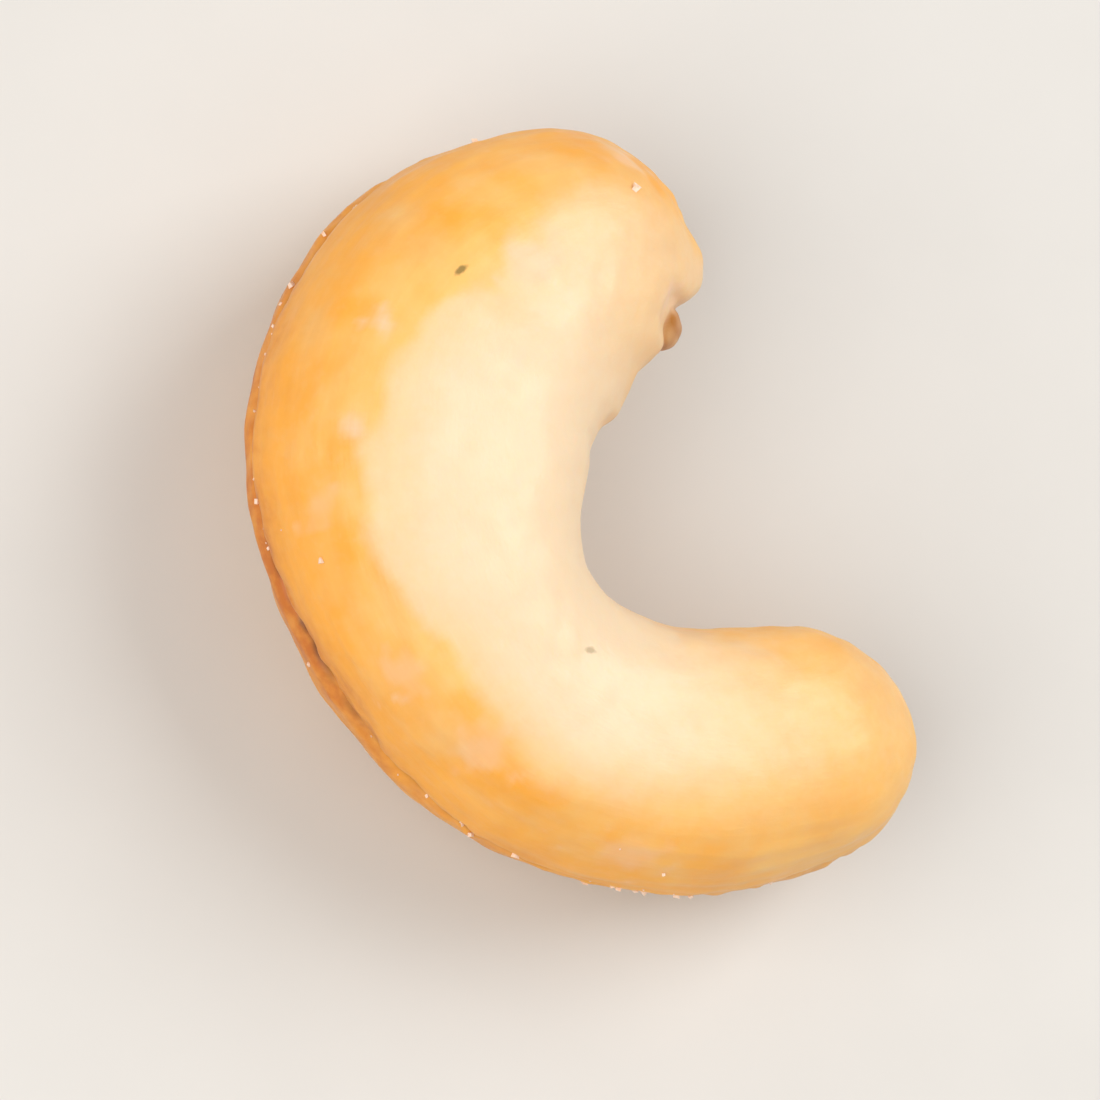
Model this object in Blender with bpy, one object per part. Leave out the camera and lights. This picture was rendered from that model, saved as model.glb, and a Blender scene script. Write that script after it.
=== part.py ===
"""A roasted cashew kernel, whole, lying on its side as it rests on a table.

The kernel is one crescent-shaped seed: two halves grown face to face, which meet in a seam that runs
round the back, the inside of the bend and both ends, and a small germ at one end. Its skin is worked out as
rings round a middle line that runs from the germ end to the plain end. In the kernel's own plane +X runs
from the germ end to the plain end, +Y points out of the open side of the bend, and +Z stands across the
seam. Blender works in metres, so sizes are given times MM.
"""

import math

import bmesh
import bpy
import numpy as np

MM = 0.001

# The middle line from the germ end to the plain end. Each row holds the place (x, y, z) on that line, the
# width across the bend and the thickness from face to face. Both ends droop a little below the bend.
STATIONS = MM * np.array(
    (
        (-6.60, 8.50, -0.80, 7.7, 8.4),
        (-8.17, 5.24, -0.67, 9.25, 9.9),
        (-8.16, 1.90, -0.20, 11.15, 10.4),
        (-6.08, -1.83, 0.00, 11.5, 10.7),
        (-2.80, -3.65, 0.02, 10.6, 11.0),
        (0.90, -4.06, 0.05, 9.25, 10.6),
        (4.55, -2.95, -0.05, 8.7, 9.9),
        (7.42, -0.15, -0.25, 8.75, 9.6),
        (8.92, 3.40, -0.55, 8.6, 9.4),
        (9.60, 6.30, -0.75, 8.2, 8.8),
        (9.78, 9.10, -0.85, 7.2, 8.2),
    )
)

# The length over which each end rounds off, and how blunt it is at the back and at the inside of the bend:
# 2 is an ellipse, and more is blunter.
GERM_END_LENGTH = 4.4 * MM
GERM_END_BLUNTNESS = (2.15, 2.9)
PLAIN_END_LENGTH = 4.1 * MM
PLAIN_END_BLUNTNESS = (2.0, 2.4)

# The cross-section is a superellipse, squarer on the inside of the bend than on the back. A low shoulder
# runs along each face, where the flat of the face turns down to the back.
INNER_SQUARENESS = 2.75
BACK_SQUARENESS = 2.1
SHOULDER_ANGLE = math.radians(118)
SHOULDER_SPREAD = math.radians(20)
SHOULDER_RISE = 0.025

# The seam is a soft groove, deeper and wider on the inside of the bend. At the tips, where the kernel runs
# out, it sinks no more than a share of the way to the middle line. The germ fills it round its place.
BACK_SEAM_DEPTH = 0.30 * MM
BACK_SEAM_WIDTH = 0.40 * MM
INNER_SEAM_DEPTH = 0.60 * MM
INNER_SEAM_WIDTH = 0.85 * MM
DEEPEST_SHARE = 1 / 3
GERM_FILLING = 1.1 * MM

# Where the germ end turns into the open side of the bend, a smooth chin stands out at the corner. Just past
# it the lip of the upper half is chipped in, and the germ stands out in the seam under the chip as a small
# knob. Further down that side the germ arm swells a little, above a hollow where the bend begins. Each row
# holds the place (x, y, z), the heading of the bump's length in the kernel's own plane, how far it stands
# out, its half length, its half width and its half height.
CHIN = (-6.58 * MM, 8.74 * MM, -0.55 * MM, math.radians(-30), 0.85 * MM, 1.15 * MM, 1.70 * MM, 1.70 * MM)
CHIP = (-5.05 * MM, 7.15 * MM, 2.30 * MM, math.radians(-52), -0.60 * MM, 0.85 * MM, 1.10 * MM, 1.30 * MM)
GERM = (-4.96 * MM, 7.00 * MM, 0.10 * MM, math.radians(-52), 0.38 * MM, 0.66 * MM, 0.75 * MM, 1.30 * MM)
SWELL = (-3.51 * MM, 3.90 * MM, 0.40 * MM, math.radians(-58), 0.39 * MM, 1.07 * MM, 1.40 * MM, 2.60 * MM)
HOLLOW = (-2.70 * MM, 2.75 * MM, 0.40 * MM, math.radians(-45), -0.52 * MM, 0.90 * MM, 1.40 * MM, 2.60 * MM)
BUMPS = (CHIN, CHIP, GERM, SWELL, HOLLOW)

# The skin is a little uneven. Each wave holds its height, its waves along the kernel, its waves round the
# section and its start in turns.
SKIN_WAVES = (
    (0.06 * MM, 1.3, 2, 0.40),
    (0.04 * MM, 2.6, -3, 0.60),
    (0.03 * MM, 4.1, 1, 0.35),
)

# How finely the skin is worked out: the rings along the kernel, the points round each ring, how much closer
# together the points are at the seam, and the short step that gives the middle line its heading.
RINGS = 72
POINTS_ROUND = 52
SEAM_BUNCHING = 0.25
NUDGE = 0.01 * MM

# Laid on a table, the kernel leans until its belly and both arms touch. Each of the three spots is a
# little flat.
LEAN_TO_PLAIN_END = math.radians(1.26)
FLAT_DEPTH = 0.06 * MM
TABLE_CUTTER_SIZE = 60 * MM

KERNEL_COLOUR = (0.80, 0.53, 0.22, 1.0)
KERNEL_ROUGHNESS = 0.45


def clear_scene():
    for found in list(bpy.data.objects):
        bpy.data.objects.remove(found, do_unlink=True)


def new_collection(name):
    collection = bpy.data.collections.new(name)
    bpy.context.scene.collection.children.link(collection)
    return collection


def smooth_through(knots, values, at):
    """The natural cubic spline through the values at the knots."""
    span = np.diff(knots)
    rise = np.diff(values, axis=0) / span[:, None]
    system = np.eye(len(knots))
    change = np.zeros_like(values)
    for i in range(1, len(knots) - 1):
        system[i, i - 1 : i + 2] = span[i - 1], 2 * (span[i - 1] + span[i]), span[i]
        change[i] = 6 * (rise[i] - rise[i - 1])
    bend = np.linalg.solve(system, change)
    i = np.clip(np.searchsorted(knots, at, side="right") - 1, 0, len(knots) - 2)
    whole = span[i, None]
    before = (at - knots[i])[:, None]
    after = (knots[i + 1] - at)[:, None]
    curved = (bend[i] * after**3 + bend[i + 1] * before**3) / (6 * whole)
    from_left = (values[i] / whole - bend[i] * whole / 6) * after
    from_right = (values[i + 1] / whole - bend[i + 1] * whole / 6) * before
    return curved + from_left + from_right


def station_lengths():
    steps = np.linalg.norm(np.diff(STATIONS[:, :3], axis=0), axis=1)
    return np.concatenate(([0.0], np.cumsum(steps)))


def middle_line(along):
    """Station values at these lengths along the middle line, and the direction across it to the open side."""
    knots = station_lengths()
    ahead = smooth_through(knots, STATIONS, np.minimum(along + NUDGE, knots[-1]))
    behind = smooth_through(knots, STATIONS, np.maximum(along - NUDGE, 0.0))
    heading = (ahead - behind)[:, :2]
    heading /= np.linalg.norm(heading, axis=1)[:, None]
    across = np.column_stack((-heading[:, 1], heading[:, 0], np.zeros(len(along))))
    return smooth_through(knots, STATIONS, along), across


def end_rounding(along, angle, total):
    """1 along the body, falling to 0 at both tips as a superellipse does."""
    inside = (1 + np.cos(angle)) / 2
    into_germ_end = np.clip(1 - along / GERM_END_LENGTH, 0, 1)
    into_plain_end = np.clip(1 - (total - along) / PLAIN_END_LENGTH, 0, 1)
    germ_power = GERM_END_BLUNTNESS[0] * (1 - inside) + GERM_END_BLUNTNESS[1] * inside
    plain_power = PLAIN_END_BLUNTNESS[0] * (1 - inside) + PLAIN_END_BLUNTNESS[1] * inside
    germ_end = (1 - into_germ_end**germ_power) ** (1 / germ_power)
    plain_end = (1 - into_plain_end**plain_power) ** (1 / plain_power)
    return germ_end * plain_end


def section_reach(angle):
    """The section's reach at this angle round it, as a share of its half width or half thickness.

    The angle is 0 at the inside of the bend, a quarter turn at the upper face and a half turn at the back.
    """
    inside = (1 + np.cos(angle)) / 2
    power = BACK_SQUARENESS + (INNER_SQUARENESS - BACK_SQUARENESS) * inside
    reach = (np.abs(np.cos(angle)) ** power + np.abs(np.sin(angle)) ** power) ** (-1 / power)
    from_shoulder = (np.arccos(np.cos(angle)) - SHOULDER_ANGLE) / SHOULDER_SPREAD
    return reach * (1 + SHOULDER_RISE * np.exp(-(from_shoulder**2)))


def seam_depth(angle, height):
    """How far the seam sinks in: a bell curve of the height over it, blended from the back to the inside."""
    inside = (1 + np.cos(angle)) / 2
    back_groove = BACK_SEAM_DEPTH * np.exp(-((height / BACK_SEAM_WIDTH) ** 2))
    inner_groove = INNER_SEAM_DEPTH * np.exp(-((height / INNER_SEAM_WIDTH) ** 2))
    return back_groove * (1 - inside) + inner_groove * inside


def skin_rise(along, angle, total):
    """How far the uneven skin stands out: a sum of waves that run along the kernel and round it."""
    rise = 0.0
    for height, waves_along, waves_round, start in SKIN_WAVES:
        turns = waves_along * along / total + waves_round * angle / (2 * math.pi) + start
        rise = rise + height * np.sin(2 * math.pi * turns)
    return rise


def kernel_rings():
    """The kernel's skin as a grid: one row of points for each ring along the middle line, tips left out."""
    total = station_lengths()[-1]
    turn = np.linspace(0, math.pi, RINGS + 2)[1:-1]
    along = total * (1 - np.cos(turn)) / 2
    station, across = middle_line(along)
    even = np.linspace(0, 2 * math.pi, POINTS_ROUND, endpoint=False)
    angle = even - SEAM_BUNCHING * np.sin(2 * even)
    shrink = end_rounding(along[:, None], angle[None, :], total)
    reach = section_reach(angle)[None, :]
    sideways = station[:, 3:4] / 2 * shrink * reach * np.cos(angle)
    height = station[:, 4:5] / 2 * shrink * reach * np.sin(angle)
    outward = across[:, None, :] * sideways[:, :, None]
    outward[:, :, 2] += height
    distance = np.linalg.norm(outward, axis=-1)
    rise = skin_rise(along[:, None], angle[None, :], total) * shrink
    from_germ = np.linalg.norm(station[:, None, :3] + outward - GERM[:3], axis=-1)
    filled = np.exp(-((from_germ / GERM_FILLING) ** 2))
    sunk = np.minimum(seam_depth(angle, height) * (1 - filled), distance * DEEPEST_SHARE)
    return station[:, None, :3] + outward * (1 + (rise - sunk) / distance)[:, :, None]


def raise_bumps(points):
    """Pushes the skin out over each bump, square to its length, as a bell curve of the distance from it."""
    for x, y, z, heading, height, half_length, half_width, half_height in BUMPS:
        lengthways = np.array((math.cos(heading), math.sin(heading), 0.0))
        outward = np.array((-lengthways[1], lengthways[0], 0.0))
        offset = points - np.array((x, y, z))
        along = offset @ lengthways / half_length
        out = offset @ outward / half_width
        up = offset[..., 2] / half_height
        rise = height * np.exp(-(along**4) - out**2 - up**2)
        points = points + outward * rise[..., None]
    return points


def kernel_mesh():
    """Four-sided faces between the rings, closed by a fan at each tip."""
    skin = bmesh.new()
    rings = [[skin.verts.new(point) for point in ring] for ring in raise_bumps(kernel_rings())]
    first_tip, last_tip = (skin.verts.new(tip) for tip in raise_bumps(STATIONS[(0, -1), :3]))
    for k in range(POINTS_ROUND):
        following = (k + 1) % POINTS_ROUND
        for ring, next_ring in zip(rings, rings[1:]):
            skin.faces.new((ring[k], ring[following], next_ring[following], next_ring[k]))
        skin.faces.new((first_tip, rings[0][following], rings[0][k]))
        skin.faces.new((last_tip, rings[-1][k], rings[-1][following]))
    bmesh.ops.recalc_face_normals(skin, faces=skin.faces)
    mesh = bpy.data.meshes.new("kernel")
    skin.to_mesh(mesh)
    skin.free()
    mesh.shade_smooth()
    return mesh


def kernel_material():
    material = bpy.data.materials.new("roasted_kernel")
    material.use_nodes = True
    shader = material.node_tree.nodes["Principled BSDF"]
    shader.inputs["Base Color"].default_value = KERNEL_COLOUR
    shader.inputs["Roughness"].default_value = KERNEL_ROUGHNESS
    shader.inputs["Metallic"].default_value = 0.0
    return material


def lay_down(kernel):
    """Leans the kernel as it rests and moves it so that its lowest points reach a little below the table."""
    kernel.rotation_euler.y = LEAN_TO_PLAIN_END
    bpy.context.view_layer.update()
    skin = np.array([kernel.matrix_world @ vertex.co for vertex in kernel.data.vertices])
    low = skin.min(axis=0)
    high = skin.max(axis=0)
    kernel.location = (-(low[0] + high[0]) / 2, -(low[1] + high[1]) / 2, -low[2] - FLAT_DEPTH)


def table_cutter(cutters):
    """A block whose top is the table's top, centred under the kernel."""
    block = bmesh.new()
    bmesh.ops.create_cube(block, size=TABLE_CUTTER_SIZE)
    bmesh.ops.translate(block, verts=block.verts, vec=(0.0, 0.0, -TABLE_CUTTER_SIZE / 2))
    mesh = bpy.data.meshes.new("table_cutter")
    block.to_mesh(mesh)
    block.free()
    table = bpy.data.objects.new("table_cutter", mesh)
    table.hide_render = True
    table.display_type = "WIRE"
    cutters.objects.link(table)
    return table


def flatten_underside(kernel, cutters):
    """Cuts the kernel off at the table's top, which leaves a small flat spot at each low point."""
    flats = kernel.modifiers.new("flat_spots", "BOOLEAN")
    flats.operation = "DIFFERENCE"
    flats.solver = "EXACT"
    flats.object = table_cutter(cutters)


def main():
    clear_scene()
    parts = new_collection("roasted_cashew")
    cutters = new_collection("cutters")
    kernel = bpy.data.objects.new("kernel", kernel_mesh())
    parts.objects.link(kernel)
    kernel.data.materials.append(kernel_material())
    lay_down(kernel)
    flatten_underside(kernel, cutters)


main()
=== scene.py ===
import math

import bpy
import numpy as np
from mathutils import Matrix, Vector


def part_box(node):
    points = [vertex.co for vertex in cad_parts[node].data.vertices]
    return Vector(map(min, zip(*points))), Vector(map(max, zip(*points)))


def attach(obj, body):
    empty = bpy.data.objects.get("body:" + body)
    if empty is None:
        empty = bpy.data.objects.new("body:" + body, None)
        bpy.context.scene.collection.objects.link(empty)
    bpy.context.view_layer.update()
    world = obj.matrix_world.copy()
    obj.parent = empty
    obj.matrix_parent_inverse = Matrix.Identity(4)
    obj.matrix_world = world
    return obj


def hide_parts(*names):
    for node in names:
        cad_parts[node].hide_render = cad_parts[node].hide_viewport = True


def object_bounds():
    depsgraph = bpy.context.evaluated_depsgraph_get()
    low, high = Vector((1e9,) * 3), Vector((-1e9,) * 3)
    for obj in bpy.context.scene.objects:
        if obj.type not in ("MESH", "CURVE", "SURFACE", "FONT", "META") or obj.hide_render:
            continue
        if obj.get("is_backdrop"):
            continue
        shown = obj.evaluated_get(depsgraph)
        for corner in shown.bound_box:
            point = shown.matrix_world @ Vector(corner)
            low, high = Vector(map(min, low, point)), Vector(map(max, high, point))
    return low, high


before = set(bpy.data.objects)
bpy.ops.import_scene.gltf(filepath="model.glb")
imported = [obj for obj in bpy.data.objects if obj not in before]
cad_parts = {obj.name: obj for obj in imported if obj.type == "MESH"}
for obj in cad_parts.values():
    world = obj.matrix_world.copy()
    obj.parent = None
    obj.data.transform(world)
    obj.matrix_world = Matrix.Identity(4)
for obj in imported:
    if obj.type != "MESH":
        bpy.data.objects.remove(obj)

cad_low, cad_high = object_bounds()

# The kernel. A cashew's seed, peeled, roasted in oil and salted: two halves grown face to face, with the
# small germ held between them at the thick end. The broad faces stay pale, and the back, the ends and the
# lips of the seam brown. It grew as one piece, and lies on one face as it was dropped.
MM = 0.001

# Each station of the middle line: its place (x, y, z), and the width and thickness of the section there.
STATIONS = MM * np.array(
    (
        (-6.60, 8.50, -0.80, 7.7, 8.4),
        (-8.17, 5.24, -0.67, 9.25, 9.9),
        (-8.16, 1.90, -0.20, 11.15, 10.4),
        (-6.08, -1.83, 0.00, 11.5, 10.7),
        (-2.80, -3.65, 0.02, 10.6, 11.0),
        (0.90, -4.06, 0.05, 9.25, 10.6),
        (4.55, -2.95, -0.05, 8.7, 9.9),
        (7.42, -0.15, -0.25, 8.75, 9.6),
        (8.92, 3.40, -0.55, 8.6, 9.4),
        (9.60, 6.30, -0.75, 8.2, 8.8),
        (9.78, 9.10, -0.85, 7.2, 8.2),
    )
)

# The length over which each end rounds off, and how blunt it is at the back and at the inside of the bend.
GERM_END_LENGTH = 4.4 * MM
GERM_END_BLUNTNESS = (2.15, 2.9)
PLAIN_END_LENGTH = 4.1 * MM
PLAIN_END_BLUNTNESS = (2.0, 2.4)
INNER_SQUARENESS = 2.75
BACK_SQUARENESS = 2.1
SHOULDER_ANGLE = math.radians(118)
SHOULDER_SPREAD = math.radians(20)
SHOULDER_RISE = 0.025
SKIN_WAVES = (  # height, waves along, waves round, start
    (0.06 * MM, 1.3, 2, 0.40),
    (0.04 * MM, 2.6, -3, 0.60),
    (0.03 * MM, 4.1, 1, 0.35),
)
RINGS = 384
POINTS_ROUND = 244
SEAM_BUNCHING = 0.33


def smooth_through(knots, values, at):
    """The natural cubic spline through the values at the knots: a cubic between each two of them."""
    span = np.diff(knots)
    rise = np.diff(values, axis=0) / span[:, None]
    system = np.eye(len(knots))
    change = np.zeros_like(values)
    for i in range(1, len(knots) - 1):
        system[i, i - 1 : i + 2] = span[i - 1], 2 * (span[i - 1] + span[i]), span[i]
        change[i] = 6 * (rise[i] - rise[i - 1])
    bend = np.linalg.solve(system, change)
    i = np.clip(np.searchsorted(knots, at, side="right") - 1, 0, len(knots) - 2)
    whole = span[i, None]
    before = (at - knots[i])[:, None]
    after = (knots[i + 1] - at)[:, None]
    curved = (bend[i] * after**3 + bend[i + 1] * before**3) / (6 * whole)
    return (
        curved
        + (values[i] / whole - bend[i] * whole / 6) * after
        + (values[i + 1] / whole - bend[i + 1] * whole / 6) * before
    )


def end_rounding(along, angle, total):
    """1 along the body, falling to 0 at both tips as (1 - t**p) ** (1 / p), p larger inside the bend."""
    inside = (1 + np.cos(angle)) / 2
    into_germ_end = np.clip(1 - along / GERM_END_LENGTH, 0, 1)
    into_plain_end = np.clip(1 - (total - along) / PLAIN_END_LENGTH, 0, 1)
    germ_power = GERM_END_BLUNTNESS[0] * (1 - inside) + GERM_END_BLUNTNESS[1] * inside
    plain_power = PLAIN_END_BLUNTNESS[0] * (1 - inside) + PLAIN_END_BLUNTNESS[1] * inside
    germ_end = (1 - into_germ_end**germ_power) ** (1 / germ_power)
    return germ_end * (1 - into_plain_end**plain_power) ** (1 / plain_power)


def section_reach(angle):
    """(|cos|**p + |sin|**p) ** (-1 / p), p larger inside the bend, raised by a low bell at each shoulder."""
    inside = (1 + np.cos(angle)) / 2
    power = BACK_SQUARENESS + (INNER_SQUARENESS - BACK_SQUARENESS) * inside
    reach = (np.abs(np.cos(angle)) ** power + np.abs(np.sin(angle)) ** power) ** (-1 / power)
    from_shoulder = (np.arccos(np.cos(angle)) - SHOULDER_ANGLE) / SHOULDER_SPREAD
    return reach * (1 + SHOULDER_RISE * np.exp(-(from_shoulder**2)))


def bare_form(along, angle, total):
    """The kernel without its seam and germ. A point lies on the middle line, plus across the bend half the
    width times the reach times cos(angle), plus up half the thickness times the reach times sin(angle), plus
    low waves. Gives the points and each one's place in its section: across, up, and the share of the half
    width."""
    knots = np.concatenate(([0.0], np.cumsum(np.linalg.norm(np.diff(STATIONS[:, :3], axis=0), axis=1))))
    nudge = 0.01 * MM
    ahead = smooth_through(knots, STATIONS, np.minimum(along + nudge, total))
    behind = smooth_through(knots, STATIONS, np.maximum(along - nudge, 0.0))
    heading = (ahead - behind)[:, :2]
    heading /= np.linalg.norm(heading, axis=1)[:, None]
    station = smooth_through(knots, STATIONS, along)
    shrink = end_rounding(along[:, None], angle[None, :], total)
    reach = section_reach(angle)[None, :]
    across = station[:, 3:4] / 2 * shrink * reach * np.cos(angle)
    up = station[:, 4:5] / 2 * shrink * reach * np.sin(angle)
    outward = np.stack((-heading[:, 1:2] * across, heading[:, 0:1] * across, up), axis=-1)
    rise = 0.0
    for height, waves_along, waves_round, start in SKIN_WAVES:
        turns = waves_along * along[:, None] / total + waves_round * angle[None, :] / (2 * math.pi) + start
        rise = rise + height * np.sin(2 * math.pi * turns)
    grown = 1 + rise * shrink / np.linalg.norm(outward, axis=-1)
    return station[:, None, :3] + outward * grown[:, :, None], across, up, across / (station[:, 3:4] / 2)


def square_to(skin):
    """Unit vectors square to a grid of points: the step round it crossed with the step along it."""
    along_it = np.gradient(skin, axis=0)
    round_it = np.roll(skin, -1, axis=1) - np.roll(skin, 1, axis=1)
    square = np.cross(round_it, along_it)
    return square / np.linalg.norm(square, axis=-1)[:, :, None]


def step_up(value, low, high):
    """0 below low, 1 above high, and 3t*t - 2t*t*t between them."""
    t = np.clip((value - low) / (high - low), 0, 1)
    return t * t * (3 - 2 * t)


def bell(distance, width):
    """exp(-(distance / width) ** 2)."""
    return np.exp(-((distance / width) ** 2))


def ripples(places, size, seed, waves=40):
    """Smooth unevenness round 0, mostly within 2 either way, with lumps about size apart: a sum of sine
    waves through space, each with a heading, a length and a start of its own, drawn from a seeded list."""
    draw = np.random.default_rng(seed)
    heading = draw.normal(size=(3, waves))
    heading /= np.linalg.norm(heading, axis=0) * size * draw.uniform(0.8, 1.9, waves)
    start = draw.uniform(0, 2 * math.pi, waves)
    return np.sin(2 * math.pi * (places @ heading) + start).sum(axis=-1) * math.sqrt(2 / waves)


TOTAL = np.linalg.norm(np.diff(STATIONS[:, :3], axis=0), axis=1).sum()
along = TOTAL * (1 - np.cos(np.linspace(0, math.pi, RINGS + 2)[1:-1])) / 2
even = np.linspace(0, 2 * math.pi, POINTS_ROUND, endpoint=False)
angle = even - SEAM_BUNCHING * np.sin(2 * even)
bare, across, up, width_share = bare_form(along, angle, TOTAL)
inside = 0.5 + 0.5 * np.clip(width_share, -1, 1)
at_back = 1 - inside
from_tip = along[:, None]
share = (along / TOTAL)[:, None]
straightened = np.stack((np.broadcast_to(along[:, None], up.shape), across, up), axis=-1)

# The seam is a soft groove with a crack down its middle. It wanders, and the lips beside it are uneven: one
# half of the kernel stands a little prouder than the other, first one and then the other. It gapes most at
# the back, a little to the germ's side of the middle.
BACK_SEAM_DEPTH = 0.30 * MM
BACK_SEAM_WIDTH = 0.40 * MM
INNER_SEAM_DEPTH = 0.60 * MM
INNER_SEAM_WIDTH = 0.85 * MM
CRACK_DEPTH = 0.20 * MM
CRACK_WIDTH = 0.10 * MM
LIP_STEP = 0.03 * MM
LIP_STEP_WIDTH = 0.22 * MM
LIP_STEP_REACH = 1.5 * MM
LIP_LUMPS = 0.03 * MM
LIP_DISTANCE = 0.38 * MM
LIP_WIDTH = 0.26 * MM
GAPE_MIDDLE = 14.5 * MM
GAPE_HALF_LENGTH = 5.5 * MM
GERM_FILLING = 1.1 * MM
BACK_SEAM_WAVES = ((0.11, 14.5, 0.6), (0.06, 36, 2.2), (0.025, 83, 5))  # height in mm, pace, start
INNER_SEAM_WAVES = ((0.10, 11, 3.8), (0.05, 40, 1.3))

# The chin is the smooth inner corner of the thick end. Just past it the lip of the upper half is chipped,
# and the germ shows there as a small brown knob, with a nick between it and the chin. Farther in, the arm
# swells a little beside a hollow where the bend begins. Each row: place (x, y, z), heading, rise, half
# length, half width, half height.
CHIN = (-6.58 * MM, 8.74 * MM, -0.55 * MM, math.radians(-30), 0.85 * MM, 1.15 * MM, 1.70 * MM, 1.70 * MM)
CHIP = (-5.05 * MM, 7.15 * MM, 2.30 * MM, math.radians(-52), -0.60 * MM, 0.85 * MM, 1.10 * MM, 1.30 * MM)
GERM = (-4.96 * MM, 7.00 * MM, 0.10 * MM, math.radians(-52), 0.38 * MM, 0.66 * MM, 0.75 * MM, 1.30 * MM)
SWELL = (-3.51 * MM, 3.90 * MM, 0.40 * MM, math.radians(-58), 0.39 * MM, 1.07 * MM, 1.40 * MM, 2.60 * MM)
HOLLOW = (-2.70 * MM, 2.75 * MM, 0.40 * MM, math.radians(-45), -0.52 * MM, 0.90 * MM, 1.40 * MM, 2.60 * MM)
NICK_DEPTH = 0.14 * MM
NICK_BEFORE_GERM = 1.15
NICK_WIDTH = 0.35
GERM_CREASE = 0.08 * MM
GERM_CREASE_AT = 0.2
GERM_CREASE_WIDTH = 0.1
GERM_HOLDS = (0.06, 0.28)


def seam_line(share, inside):
    """The seam's height along the kernel: three sine waves added up at the back, and two inside the bend."""
    back = sum(height * np.sin(pace * share + start) for height, pace, start in BACK_SEAM_WAVES)
    inner = sum(height * np.sin(pace * share + start) for height, pace, start in INNER_SEAM_WAVES)
    return MM * (back * (1 - inside) + inner * inside)


def over_bump(points, bump):
    """exp(-(a**4 + b**2)), where a is the distance from the bump's middle along it and b the distance square
    to it, in its own half sizes. Gives this share, a, b**2, and the way that the bump stands out."""
    x, y, z, heading, height, half_length, half_width, half_height = bump
    lengthways = np.array((math.cos(heading), math.sin(heading), 0.0))
    outward = np.array((-lengthways[1], lengthways[0], 0.0))
    offset = points - np.array((x, y, z))
    along_it = offset @ lengthways / half_length
    square = (offset @ outward / half_width) ** 2 + (offset[..., 2] / half_height) ** 2
    return np.exp(-(along_it**4) - square), along_it, square, outward * height


from_seam = up - seam_line(share, inside)
filled = bell(np.linalg.norm(bare - GERM[:3], axis=-1), GERM_FILLING)
gaping = bell(from_tip - GAPE_MIDDLE, GAPE_HALF_LENGTH)
groove = BACK_SEAM_DEPTH * bell(from_seam, BACK_SEAM_WIDTH) * at_back * (0.6 + 0.4 * gaping)
groove += INNER_SEAM_DEPTH * bell(from_seam, INNER_SEAM_WIDTH) * inside
form = bare - square_to(bare) * (groove * (1 - filled))[:, :, None]
over_chin, _, _, chin_rise = over_bump(form, CHIN)
form += over_chin[:, :, None] * chin_rise
over_chip, _, _, chip_rise = over_bump(form, CHIP)
form += over_chip[:, :, None] * chip_rise
over_germ, down_germ, beside_germ, germ_rise = over_bump(form, GERM)
form += over_germ[:, :, None] * germ_rise
for low_bump in (SWELL, HOLLOW):
    over_it, _, _, low_rise = over_bump(form, low_bump)
    form += over_it[:, :, None] * low_rise

lip = bell(np.abs(from_seam) - LIP_DISTANCE, LIP_WIDTH)
crack = CRACK_DEPTH * bell(from_seam, CRACK_WIDTH) * (0.7 + 0.3 * ripples(bare, 3.0 * MM, 11))
crack *= inside + at_back * (0.35 + 0.65 * gaping)
held_by_germ = step_up(over_germ, *GERM_HOLDS)
crack *= 1 - held_by_germ
lip_step = LIP_STEP * np.tanh(from_seam / LIP_STEP_WIDTH) * bell(from_seam, LIP_STEP_REACH)
lip_step = lip_step * np.sin(19 * share + 0.9)
lip_lumps = LIP_LUMPS * lip * ripples(bare, 0.75 * MM, 12)
nick = bell(down_germ + NICK_BEFORE_GERM, NICK_WIDTH) * np.exp(-beside_germ)
crease = bell(over_germ - GERM_CREASE_AT, GERM_CREASE_WIDTH)

# The skin is waxy and close, with broad shallow hollows, fine wrinkles that run along the back, a few pits,
# and small blisters raised by the hot oil.
SHALLOW_HOLLOWS = ((5.2 * MM, 0.045 * MM), (2.3 * MM, 0.028 * MM), (0.95 * MM, 0.010 * MM))
WRINKLE_SPACING = 0.62 * MM
WRINKLE_HEIGHT = 0.016 * MM
PITS = 46
PIT_WIDTHS = (0.16 * MM, 0.34 * MM)
PIT_DEPTHS = (0.02 * MM, 0.05 * MM)
BLISTERS = 34
BLISTER_WIDTHS = (0.22 * MM, 0.5 * MM)
BLISTER_HEIGHTS = (0.012 * MM, 0.035 * MM)
RINGS_WITH_MARKS = (20, RINGS - 20)
ALL_ROUND = (0, POINTS_ROUND)
ON_THE_BACK = (88, 157)

back_share = step_up(np.arccos(np.cos(angle))[None, :], math.radians(112), math.radians(140))
hollows = sum(height * ripples(bare, size, 20 + k) for k, (size, height) in enumerate(SHALLOW_HOLLOWS))
stretched = straightened * (0.14, 1.0, 1.0)
wrinkles = WRINKLE_HEIGHT * ripples(stretched, WRINKLE_SPACING, 31) * (0.25 + 0.75 * back_share)


def dimples(points, count, widths, heights, seed, rows, columns):
    """A sum of bell curves round seeded points of the grid, each with its own width and height."""
    draw = np.random.default_rng(seed)
    centres = points[draw.integers(*rows, count), draw.integers(*columns, count)]
    widths = draw.uniform(*widths, count)
    heights = draw.uniform(*heights, count)
    total = np.zeros(points.shape[:2])
    for centre, width, height in zip(centres, widths, heights):
        total += height * bell(np.linalg.norm(points - centre, axis=-1), width)
    return total


pits = dimples(bare, PITS, PIT_WIDTHS, PIT_DEPTHS, 41, RINGS_WITH_MARKS, ALL_ROUND)
blisters = dimples(bare, BLISTERS, BLISTER_WIDTHS, BLISTER_HEIGHTS, 42, RINGS_WITH_MARKS, ON_THE_BACK)
relief = hollows + wrinkles + blisters - pits
relief += (lip_step + lip_lumps - crack) * (1 - 0.6 * filled)
relief -= NICK_DEPTH * nick
relief -= GERM_CREASE * crease
skin = form + square_to(form) * relief[:, :, None]

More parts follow.
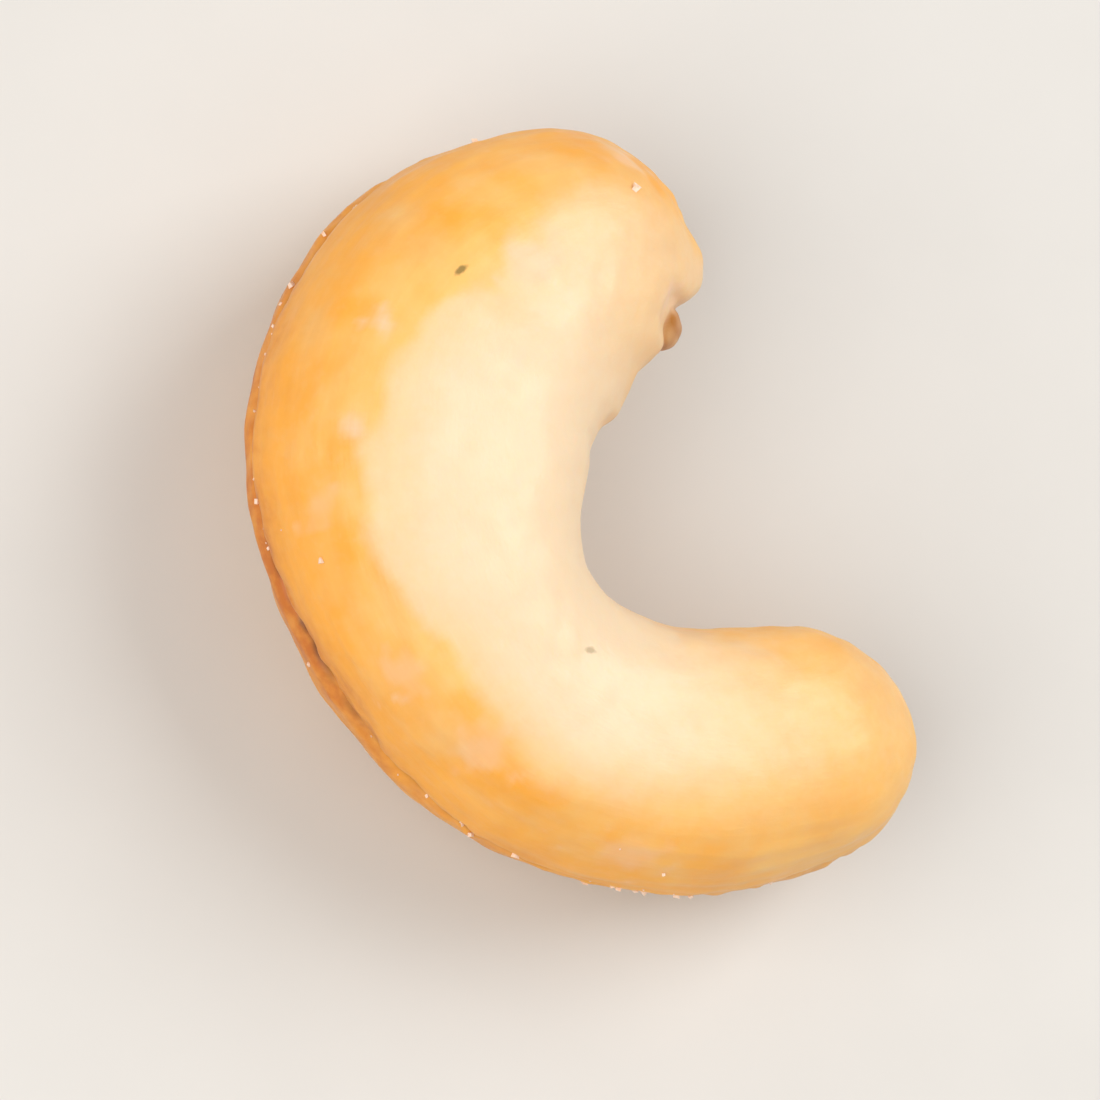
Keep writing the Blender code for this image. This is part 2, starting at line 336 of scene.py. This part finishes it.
# Laid on the table it leans by about a degree until its belly and both arms touch, each on a flat spot.
LEAN_TO_PLAIN_END = math.radians(1.26)
FLAT_DEPTH = 0.06 * MM


def leaned(points):
    """Turned about Y by the lean: x' = x cos + z sin, z' = z cos - x sin."""
    cos, sin = math.cos(LEAN_TO_PLAIN_END), math.sin(LEAN_TO_PLAIN_END)
    x, y, z = points[..., 0], points[..., 1], points[..., 2]
    return np.stack((x * cos + z * sin, y, z * cos - x * sin), -1)


low = leaned(form).min(axis=(0, 1))
high = leaned(form).max(axis=(0, 1))
cad_middle = sum(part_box("kernel"), start=0 * cad_low) / 2
middle = (low + high) / 2
put_down = np.array((cad_middle[0] - middle[0], cad_middle[1] - middle[1], -low[2] - FLAT_DEPTH))
skin = leaned(skin) + put_down
skin[..., 2] = np.maximum(skin[..., 2], 0.0)


def closed_grid(name, grid):
    """A mesh from rings of points: four-sided faces between rings, and a fan to a point at each end."""
    rings, round_it = grid.shape[:2]
    index = np.arange(rings * round_it).reshape(rings, round_it)
    beside = np.roll(index, -1, axis=1)
    sides = np.stack((index[:-1], beside[:-1], beside[1:], index[1:]), axis=-1).reshape(-1, 4)
    first = np.full(round_it, rings * round_it)
    fans = np.concatenate(
        (
            np.stack((first, beside[0], index[0]), axis=-1),
            np.stack((first + 1, index[-1], beside[-1]), axis=-1),
        )
    )
    points = np.concatenate((grid.reshape(-1, 3), grid[(0, -1), :].mean(axis=1)))
    mesh = bpy.data.meshes.new(name)
    mesh.vertices.add(len(points))
    mesh.vertices.foreach_set("co", points.astype(np.float32).ravel())
    corners = np.concatenate((sides.ravel(), fans.ravel()))
    sizes = np.concatenate((np.full(len(sides), 4), np.full(len(fans), 3)))
    mesh.loops.add(len(corners))
    mesh.loops.foreach_set("vertex_index", corners.astype(np.int32))
    mesh.polygons.add(len(sizes))
    mesh.polygons.foreach_set("loop_start", (np.cumsum(sizes) - sizes).astype(np.int32))
    mesh.polygons.foreach_set("use_smooth", np.ones(len(sizes), bool))
    mesh.update(calc_edges=True)
    mesh.validate()
    return mesh


def keep_on(mesh, name, values):
    """Keeps a number for each point of the grid on the mesh, and each end ring's mean for the tip there."""
    whole = np.concatenate((values.ravel(), values[(0, -1), :].mean(axis=1)))
    mesh.attributes.new(name, "FLOAT", "POINT").data.foreach_set("value", whole.astype(np.float32))


kernel_mesh = closed_grid("kernel_skin", skin)

# Where the kernel is pale, golden and toasted, with painted shade on the back, the lower half and in the
# grooves by the germ, and pale spots that are partly scuffs and partly painted highlights. The pale face
# ends along a border that follows the shoulder of the section. Each pair: a length along the middle line in
# mm, and the border's angle there.
BORDER = np.array(
    (
        (0.0, 112), (3.0, 116), (4.6, 116), (6.0, 105), (7.6, 102), (9.2, 106),
        (11.4, 115), (14.0, 119), (16.5, 122), (18.4, 117), (20.8, 113),
        (23.3, 119), (26.2, 114), (28.6, 114), (32.7, 116), (36.5, 114),
    )
)
UNDERSIDE_WANDER = 7
# Where along the kernel each change of colour begins and ends. Minus lengths are read toward the germ end.
SOFTER_TO_GERM_END = (-9 * MM, -4 * MM)
SOFTER_TO_PLAIN_END = (19 * MM, 29 * MM)
BORDER_ROUNDS_INWARD = (23.0 * MM, 34.5 * MM)
GOLDEN_TO_PLAIN_END = (23.5 * MM, 35 * MM)
GOLDEN_TO_GERM_END = (-9 * MM, -0.5 * MM)
LIGHTER_TO_PLAIN_END = (25 * MM, 33 * MM)
DEEPER_INNER_SIDE = (24 * MM, 31 * MM)
# How far the darker bands of toasting and painted shade spread from the seam, and over what share of its
# bump the germ takes its colour.
TOASTED_AND_SHADED_LIP_WIDTH = 0.95 * MM
TOASTED_AND_SHADED_BAND_WIDTH = 2.2 * MM
LOWER_HALF_TOAST_AND_SHADE_FADES_IN = 1.6 * MM
DARK_CRACK_WIDTH = 0.17 * MM
GERM_COLOUR_EDGE = (0.08, 0.32)
# Pale pinkish spots, partly scuffs and partly painted highlights.
SCUFFS_AND_HIGHLIGHTS = (  # length along in mm, angle, half width in mm, strength
    (10.40, 120.6, 0.36, 0.9), (12.89, 123.3, 0.42, 0.9), (6.71, 97.5, 0.75, 0.8), (5.9, 96.0, 0.6, 0.6),
    (0.9, 62.0, 0.55, 0.8), (2.6, 140.0, 0.7, 0.6), (19.0, 133.0, 0.7, 0.5), (21.5, 127.0, 0.9, 0.5),
    (14.6, 140.0, 0.5, 0.35), (26.0, 142.0, 0.9, 0.4), (31.0, 214.0, 0.7, 0.6), (15.0, 232.0, 0.8, 0.6),
    (8.0, 205.0, 0.6, 0.5), (22.0, 222.0, 0.7, 0.5),
)



def grid_place(length, turn):
    """The row and column of the grid nearest to this length along in mm and this angle in degrees."""
    return np.abs(along - length * MM).argmin(), np.abs(np.degrees(angle) - turn).argmin()


folded = np.degrees(np.arccos(np.cos(angle)))[None, :]
under = step_up(-np.sin(angle), -0.2, 0.2)[None, :]
border = smooth_through(BORDER[:, 0] * MM, BORDER[:, 1:], along)
border = border + UNDERSIDE_WANDER * under * np.sin(17 * share + 1)
ragged = 1.5 * ripples(bare, 2.0 * MM, 51) + 0.6 * ripples(bare, 0.7 * MM, 52)
within = border - folded + ragged
softness = 4 + 6 * step_up(-from_tip, *SOFTER_TO_GERM_END) + 14 * step_up(from_tip, *SOFTER_TO_PLAIN_END)
inner_border = 32 * step_up(from_tip, *BORDER_ROUNDS_INWARD) - 4
pale = 0.60 * step_up(within / softness, -1, 1) + 0.40 * step_up(within, -2, 28)
pale *= step_up(folded + 3 * ragged - inner_border, 0, 36) * (0.75 + 0.25 * step_up(folded, 8, 50))
pale *= 1 - 0.86 * step_up(from_tip, *GOLDEN_TO_PLAIN_END) - 0.46 * step_up(-from_tip, *GOLDEN_TO_GERM_END)
# Seam lips, back and lower half browned: partly toasting, partly painted shade where the edges turn away.
toasted_and_shade = bell(from_seam, TOASTED_AND_SHADED_LIP_WIDTH) * (0.4 * inside + at_back * (0.14 + 0.60 * gaping))
lower_half_toast_and_shade = step_up(-from_seam, 0.0, LOWER_HALF_TOAST_AND_SHADE_FADES_IN) * (0.3 + 0.7 * bell(from_seam, 3 * MM))
toasted_and_shaded_band = (0.10 + 0.24 * gaping) * bell(from_seam, TOASTED_AND_SHADED_BAND_WIDTH)
toasted_and_shaded_band += (0.36 + 0.30 * gaping) * lower_half_toast_and_shade
toasted_and_shade += toasted_and_shaded_band * at_back
toasted_and_shade += 0.10 * step_up(ripples(bare, 4.2 * MM, 53), -0.2, 1.6) * (1 - pale)
toasted_and_shade *= 1 - 0.9 * over_chin
# The nick and the crease round the germ are browned as painted shade in these grooves.
toasted_and_shade += 0.2 * filled + 0.25 * nick + 0.06 * over_chip + 0.4 * crease
toasted_and_shade *= 1 + 0.12 * ripples(bare, 1.2 * MM, 54)
crack_and_nick_shade = bell(from_seam, DARK_CRACK_WIDTH) * (1 - 0.8 * filled)
crack_and_nick_shade *= inside + at_back * (0.25 + 0.75 * gaping)
crack_and_nick_shade *= 0.80 + 0.55 * ripples(bare, 0.95 * MM, 13)
crack_and_nick_shade *= 1 - held_by_germ
# The nick is darkened further with painted shade.
crack_and_nick_shade += 0.15 * nick
scuffed_and_highlit = np.zeros_like(pale)
for length, turn, reach, strength in SCUFFS_AND_HIGHLIGHTS:
    distance = np.linalg.norm(bare - bare[grid_place(length, turn)], axis=-1) / (reach * MM)
    scuffed_and_highlit += strength * np.exp(-((distance * (1 + 0.25 * ripples(bare, 0.7 * MM, 55))) ** 3))
keep_on(kernel_mesh, "pale", np.clip(pale, 0, 1))
deep = step_up(folded + 6 * ragged, 103, 162) * (1 - 0.8 * step_up(from_tip, *LIGHTER_TO_PLAIN_END))
deeper_lip = 0.2 * inside * bell(from_seam, 3 * MM)
deep += deeper_lip + 0.2 * step_up(from_tip, *DEEPER_INNER_SIDE) * step_up(-folded, -78, -30)
keep_on(kernel_mesh, "deep", deep)
keep_on(kernel_mesh, "toasted_and_shade", np.clip(toasted_and_shade, 0, 1))
germ_share = step_up(over_germ, *GERM_COLOUR_EDGE) * (0.88 + 0.12 * ripples(bare, 0.45 * MM, 56))
keep_on(kernel_mesh, "germ", germ_share)
keep_on(kernel_mesh, "crack_and_nick_shade", np.clip(crack_and_nick_shade, 0, 1))
keep_on(kernel_mesh, "scuffed_and_highlit", np.clip(scuffed_and_highlit, 0, 1))
whole = np.concatenate((straightened.reshape(-1, 3), straightened[(0, -1), :].mean(axis=1)))
kept_places = kernel_mesh.attributes.new("straightened", "FLOAT_VECTOR", "POINT")
kept_places.data.foreach_set("vector", whole.astype(np.float32).ravel())

PALE_COLOUR = (0.850, 0.665, 0.450)
GOLDEN_COLOUR = (0.940, 0.435, 0.055)
LIGHT_GOLDEN_COLOUR = (0.925, 0.535, 0.160)
# The toasted colour also paints shade on the back, the lower half and the grooves by the germ.
TOASTED_AND_SHADE_COLOUR = (0.550, 0.158, 0.014)
# The crack colour also paints shade in the nick.
CRACK_AND_NICK_SHADE_COLOUR = (0.180, 0.052, 0.003)
GERM_COLOUR = (0.460, 0.180, 0.024)
# The scuff colour also paints highlights.
SCUFF_AND_HIGHLIGHT_COLOUR = (0.900, 0.590, 0.370)
SPECK_COLOUR = (0.190, 0.135, 0.030)
SPECKS = (  # length along in mm, angle, half length and half width in mm, heading in degrees, strength
    (8.40, 110.0, 0.30, 0.12, 99, 0.8),
    (22.10, 65.0, 0.22, 0.14, 60, 0.45),
)


def add_node(material, kind, settings=(), **inputs):
    """A node of this kind, with its settings and its inputs, each a value or another node's output."""
    tree = material.node_tree
    node = tree.nodes.new(kind)
    for name, value in settings:
        setattr(node, name, value)
    for name, value in inputs.items():
        socket = node.inputs[int(name[1:]) if name[1:].isdigit() else name.replace("_", " ")]
        if isinstance(value, bpy.types.NodeSocket):
            tree.links.new(value, socket)
        else:
            socket.default_value = value
    return node


def kept(material, name):
    """The number or vector kept on the mesh under this name."""
    node = add_node(material, "ShaderNodeAttribute", [("attribute_name", name)])
    return node.outputs["Vector" if name == "straightened" else "Fac"]


def noise(material, place, size, detail=2.0, stretch=(1, 1, 1)):
    """Noise with lumps about size across, in metres, read at this place after a stretch."""
    scale = [share / size for share in stretch]
    scaled = add_node(material, "ShaderNodeMapping", Vector=place, Scale=scale).outputs[0]
    made = add_node(material, "ShaderNodeTexNoise", Vector=scaled, Scale=1.0, Detail=detail, Roughness=0.55)
    return made.outputs["Fac"]


def ranged(material, value, low, high, to_low=0.0, to_high=1.0):
    """The value from low to high made a number from to_low to to_high, and held there past them."""
    node = add_node(material, "ShaderNodeMapRange", [("clamp", True)], Value=value)
    for name, number in (("From Min", low), ("From Max", high), ("To Min", to_low), ("To Max", to_high)):
        node.inputs[name].default_value = number
    return node.outputs[0]


def worked(material, operation, a, b, clamp=False):
    """Two numbers added, multiplied or otherwise worked into one."""
    settings = [("operation", operation), ("use_clamp", clamp)]
    return add_node(material, "ShaderNodeMath", settings, _0=a, _1=b).outputs[0]


def blended(material, share, a, b, how="MIX"):
    """Colour a turned into colour b by this share."""
    node = add_node(material, "ShaderNodeMix", [("data_type", "RGBA"), ("blend_type", how)], _0=share)
    for slot, colour in ((6, a), (7, b)):
        if isinstance(colour, bpy.types.NodeSocket):
            material.node_tree.links.new(colour, node.inputs[slot])
        else:
            node.inputs[slot].default_value = (*colour, 1.0)
    return node.outputs[2]


roasted = bpy.data.materials.new("roasted_kernel")
roasted.use_nodes = True
roasted_shader = roasted.node_tree.nodes["Principled BSDF"]
place = add_node(roasted, "ShaderNodeTexCoord").outputs["Object"]
straight = kept(roasted, "straightened")
blotches = noise(roasted, place, 2.1 * MM, 3.0)
grain = noise(roasted, place, 0.35 * MM, 3.0)
streaks = noise(roasted, straight, 0.55 * MM, 3.0, (0.12, 1, 1))
wisps = ranged(roasted, noise(roasted, straight, 1.3 * MM, 4.0, (0.3, 1, 1)), 0.35, 0.7, 0.75, 1.2)
spots = ranged(roasted, noise(roasted, place, 0.42 * MM, 4.0), 0.38, 0.66, 0.80, 1.18)
grainy = ranged(roasted, grain, 0.3, 0.7, -0.05, 0.05)
pale_share = worked(roasted, "ADD", kept(roasted, "pale"), grainy, True)
blotchy = ranged(roasted, blotches, 0.36, 0.66, -0.17, 0.24)
depth = worked(roasted, "ADD", kept(roasted, "deep"), blotchy, True)
golden = blended(roasted, depth, LIGHT_GOLDEN_COLOUR, GOLDEN_COLOUR)
colour = blended(roasted, pale_share, golden, PALE_COLOUR)
toasted_and_shade_share = worked(roasted, "MULTIPLY", kept(roasted, "toasted_and_shade"), wisps)
toasted_and_shade_share = worked(roasted, "MULTIPLY", toasted_and_shade_share, spots, True)
# The toasted colour here is partly toasting and partly painted shade.
colour = blended(roasted, toasted_and_shade_share, colour, TOASTED_AND_SHADE_COLOUR)
colour = blended(roasted, kept(roasted, "germ"), colour, GERM_COLOUR)
# Pale spots: partly scuffs, partly painted highlights.
colour = blended(roasted, kept(roasted, "scuffed_and_highlit"), colour, SCUFF_AND_HIGHLIGHT_COLOUR)
# The dark crack colour also lays painted shade in the nick.
colour = blended(roasted, kept(roasted, "crack_and_nick_shade"), colour, CRACK_AND_NICK_SHADE_COLOUR)
not_pale = ranged(roasted, pale_share, 0.0, 1.0, 1.0, 0.12)
streaked = worked(roasted, "MULTIPLY", ranged(roasted, streaks, 0.35, 0.65, 0.07, 0.0), not_pale)
colour = blended(roasted, streaked, colour, TOASTED_AND_SHADE_COLOUR)
for length, turn, half_length, half_width, heading, strength in SPECKS:
    centre = skin[grid_place(length, turn)]
    mapped = add_node(roasted, "ShaderNodeMapping", [("vector_type", "TEXTURE")], Vector=place)
    mapped.inputs["Location"].default_value = centre
    mapped.inputs["Rotation"].default_value = (0, 0, math.radians(heading))
    mapped.inputs["Scale"].default_value = (half_length * MM, half_width * MM, half_length * MM)
    far = add_node(roasted, "ShaderNodeVectorMath", [("operation", "LENGTH")], _0=mapped.outputs[0])
    far = worked(roasted, "ADD", far.outputs["Value"], ranged(roasted, grain, 0.3, 0.7, -0.3, 0.3))
    colour = blended(roasted, ranged(roasted, far, 0.5, 1.1, strength, 0.0), colour, SPECK_COLOUR)
roasted.node_tree.links.new(colour, roasted_shader.inputs["Base Color"])
oiliness = ranged(roasted, noise(roasted, place, 1.6 * MM, 3.0), 0.35, 0.68, 0.37, 0.53)
roasted.node_tree.links.new(oiliness, roasted_shader.inputs["Roughness"])
close_grain = worked(roasted, "MULTIPLY", noise(roasted, straight, 0.16 * MM, 3.0, (0.45, 1, 1)), 0.5)
height = worked(roasted, "ADD", worked(roasted, "MULTIPLY", streaks, not_pale), close_grain)
bumped = add_node(roasted, "ShaderNodeBump", Height=height, Strength=0.6, Distance=0.035 * MM)
roasted.node_tree.links.new(bumped.outputs[0], roasted_shader.inputs["Normal"])
roasted_shader.inputs["Metallic"].default_value = 0.0
roasted_shader.inputs["IOR"].default_value = 1.46
roasted_shader.inputs["Specular IOR Level"].default_value = 0.45
roasted_shader.inputs["Subsurface Weight"].default_value = 0.35
roasted_shader.inputs["Subsurface Radius"].default_value = (1.0, 0.6, 0.30)
roasted_shader.inputs["Subsurface Scale"].default_value = 1.1 * MM
roasted_shader.inputs["Coat Weight"].default_value = 0.12
roasted_shader.inputs["Coat Roughness"].default_value = 0.26

kernel = bpy.data.objects.new("kernel_skin", kernel_mesh)
bpy.context.scene.collection.objects.link(kernel)
kernel_mesh.materials.append(roasted)
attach(kernel, "root")
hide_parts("kernel")

# The salt. Fine dry grains thrown on while the oil was hot, so each is bedded in the skin by about half.
# They are broken cubes, and most of them caught along the seam and on the back.
SALT_GRAINS = 80
SALT_HALF_SIZE = (0.03 * MM, 0.14 * MM)
SALT_ANYWHERE = 0.004
SALT_AT_SEAM = 4.5
SALT_SEAM_WIDTH = 0.6 * MM
SALT_ON_BACK = 0.08
SALT_LOWEST = 0.8 * MM
SALT_COLOURS = ((0.95, 0.74, 0.61), (0.93, 0.62, 0.45))

draw = np.random.default_rng(77)
open_skin = skin[..., 2] > SALT_LOWEST
chance = SALT_ANYWHERE + SALT_AT_SEAM * bell(from_seam, SALT_SEAM_WIDTH) * at_back
chance = (chance + SALT_ON_BACK * back_share) * (1 - 0.9 * np.clip(pale, 0, 1))
patch = np.linalg.norm(np.cross(np.gradient(skin, axis=0), np.gradient(skin, axis=1)), axis=-1)
chance = (chance * open_skin * patch).ravel()
chosen = draw.choice(chance.size, SALT_GRAINS, replace=False, p=chance / chance.sum())
seats = skin.reshape(-1, 3)[chosen]
stands = square_to(skin).reshape(-1, 3)[chosen]


def turned_boxes(seats, stands, half_sizes, draw):
    """Broken cubes: each has its sides shortened by up to 0.38 and its eight corners moved by up to 0.3 of
    its half size, is turned by a random unit quaternion, and sits with its middle just above its seat. One
    array holds all the corners."""
    count = len(seats)
    corners = np.array([(x, y, z) for x in (-1, 1) for y in (-1, 1) for z in (-1, 1)], float)
    corners = corners * draw.uniform(0.62, 1.0, (count, 1, 3)) + draw.uniform(-0.3, 0.3, (count, 8, 3))
    quaternions = draw.normal(size=(4, count))
    w, x, y, z = quaternions / np.linalg.norm(quaternions, axis=0)
    turn = np.array(
        (
            (1 - 2 * (y * y + z * z), 2 * (x * y - z * w), 2 * (x * z + y * w)),
            (2 * (x * y + z * w), 1 - 2 * (x * x + z * z), 2 * (y * z - x * w)),
            (2 * (x * z - y * w), 2 * (y * z + x * w), 1 - 2 * (x * x + y * y)),
        )
    )
    corners = np.einsum("ijk,knj->kni", turn, corners) * half_sizes[:, None, None]
    return corners + (seats + stands * half_sizes[:, None] * 0.15)[:, None, :]


smallest, largest = SALT_HALF_SIZE
half_sizes = smallest + (largest - smallest) * draw.uniform(0, 1, SALT_GRAINS) ** 2
grain_points = turned_boxes(seats, stands, half_sizes, draw).reshape(-1, 3)
box_faces = np.array(((0, 1, 3, 2), (4, 6, 7, 5), (0, 4, 5, 1), (2, 3, 7, 6), (0, 2, 6, 4), (1, 5, 7, 3)))
grain_faces = (np.arange(SALT_GRAINS)[:, None, None] * 8 + box_faces).reshape(-1, 4)
salt_mesh = bpy.data.meshes.new("salt_grains")
salt_mesh.from_pydata(grain_points.tolist(), [], grain_faces.tolist())
salt_mesh.update()

salt_crystal = bpy.data.materials.new("salt_crystal")
salt_crystal.use_nodes = True
salt_shader = salt_crystal.node_tree.nodes["Principled BSDF"]
salt_place = add_node(salt_crystal, "ShaderNodeTexCoord").outputs["Object"]
cloudy = ranged(salt_crystal, noise(salt_crystal, salt_place, 0.1 * MM), 0.35, 0.65)
salt_colour = blended(salt_crystal, cloudy, *SALT_COLOURS)
salt_crystal.node_tree.links.new(salt_colour, salt_shader.inputs["Base Color"])
salt_shader.inputs["Roughness"].default_value = 0.22
salt_shader.inputs["IOR"].default_value = 1.54
salt_shader.inputs["Subsurface Weight"].default_value = 0.3
salt_shader.inputs["Subsurface Radius"].default_value = (1.0, 0.9, 0.8)
salt_shader.inputs["Subsurface Scale"].default_value = 0.1 * MM

salt = bpy.data.objects.new("salt_grains", salt_mesh)
bpy.context.scene.collection.objects.link(salt)
salt_mesh.materials.append(salt_crystal)
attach(salt, "root")

# The table under it. A plain pale board, painted with a matt finish and far wider than the kernel, which
# lies loose on it.
TABLE_HALF_WIDTH = 0.9
BOARD_COLOURS = ((0.66, 0.65, 0.635), (0.68, 0.67, 0.655))

table_mesh = bpy.data.meshes.new("table")
table_mesh.from_pydata(
    [(x * TABLE_HALF_WIDTH, y * TABLE_HALF_WIDTH, 0.0) for x, y in ((-1, -1), (1, -1), (1, 1), (-1, 1))],
    [],
    [(0, 1, 2, 3)],
)
board = bpy.data.materials.new("matt_board")
board.use_nodes = True
board_shader = board.node_tree.nodes["Principled BSDF"]
board_place = add_node(board, "ShaderNodeTexCoord").outputs["Object"]
board_share = ranged(board, noise(board, board_place, 9 * MM, 4.0), 0.3, 0.7)
board_colour = blended(board, board_share, *BOARD_COLOURS)
board.node_tree.links.new(board_colour, board_shader.inputs["Base Color"])
board_shader.inputs["Roughness"].default_value = 0.8
table = bpy.data.objects.new("table", table_mesh)
bpy.context.scene.collection.objects.link(table)
table_mesh.materials.append(board)
table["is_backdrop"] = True

# The light and the camera. One soft window of light from beyond the open side of the bend, a broader one
# from the other side, and pale air all round. The camera looks down, tilted toward the back of the bend.
CAMERA_TILT = math.radians(17)
CAMERA_ROLL = math.radians(65)
CAMERA_LENS = 200.0
CAMERA_SENSOR = 36.0
FRAME_HEIGHT = 36.5 * MM
AIM = np.array((0.0, 0.0, 5.2 * MM))
LIGHT_DISTANCE = 0.45
KEY_WINDOW = (48, 0.27, 1.12, (1.0, 0.985, 0.96))  # degrees up, width, power, colour
FILL_WINDOW = (46, 0.44, 1.46, (1.0, 0.96, 0.90))

toward_x = np.array((1.0, 0.0, 0.0))
toward_y = np.array((0.0, math.cos(CAMERA_TILT), math.sin(CAMERA_TILT)))
toward_camera = np.array((0.0, -math.sin(CAMERA_TILT), math.cos(CAMERA_TILT)))
right = math.cos(CAMERA_ROLL) * toward_x + math.sin(CAMERA_ROLL) * toward_y
upward = -math.sin(CAMERA_ROLL) * toward_x + math.cos(CAMERA_ROLL) * toward_y


def facing(place, right, upward, backward):
    """The matrix of an object at this place, with its X, Y and Z along these three directions."""
    columns = np.column_stack((right, upward, backward, place))
    return Matrix([*columns.tolist(), [0.0, 0.0, 0.0, 1.0]])


camera_data = bpy.data.cameras.new("camera")
camera_data.lens = CAMERA_LENS
camera_data.sensor_width = CAMERA_SENSOR
camera_data.clip_start = 0.005
camera_data.clip_end = 20.0
camera = bpy.data.objects.new("camera", camera_data)
bpy.context.scene.collection.objects.link(camera)
camera_distance = FRAME_HEIGHT / 2 / (CAMERA_SENSOR / 2 / CAMERA_LENS)
camera.matrix_world = facing(AIM + toward_camera * camera_distance, right, upward, toward_camera)
bpy.context.scene.camera = camera


def window(name, toward, height, width, power, colour):
    """A square area light that faces the kernel from this direction, this many degrees up."""
    flat = toward - toward[2] * np.array((0.0, 0.0, 1.0))
    flat /= np.linalg.norm(flat)
    away = flat * math.cos(math.radians(height)) + np.array((0.0, 0.0, math.sin(math.radians(height))))
    side = np.cross((0.0, 0.0, 1.0), away)
    side /= np.linalg.norm(side)
    light = bpy.data.lights.new(name, "AREA")
    light.shape = "SQUARE"
    light.size = width
    light.energy = power
    light.color = colour
    lamp = bpy.data.objects.new(name, light)
    bpy.context.scene.collection.objects.link(lamp)
    lamp.matrix_world = facing(away * LIGHT_DISTANCE, side, np.cross(away, side), away)


window("key_window", right + 0.5 * upward, *KEY_WINDOW)
window("fill_window", -right - 0.3 * upward, *FILL_WINDOW)

air = bpy.data.worlds.new("pale_air")
air.use_nodes = True
air.node_tree.nodes["Background"].inputs["Color"].default_value = (1.0, 0.97, 0.93, 1.0)
air.node_tree.nodes["Background"].inputs["Strength"].default_value = 0.5
bpy.context.scene.world = air
bpy.context.scene.view_settings.view_transform = "Standard"

low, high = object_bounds()
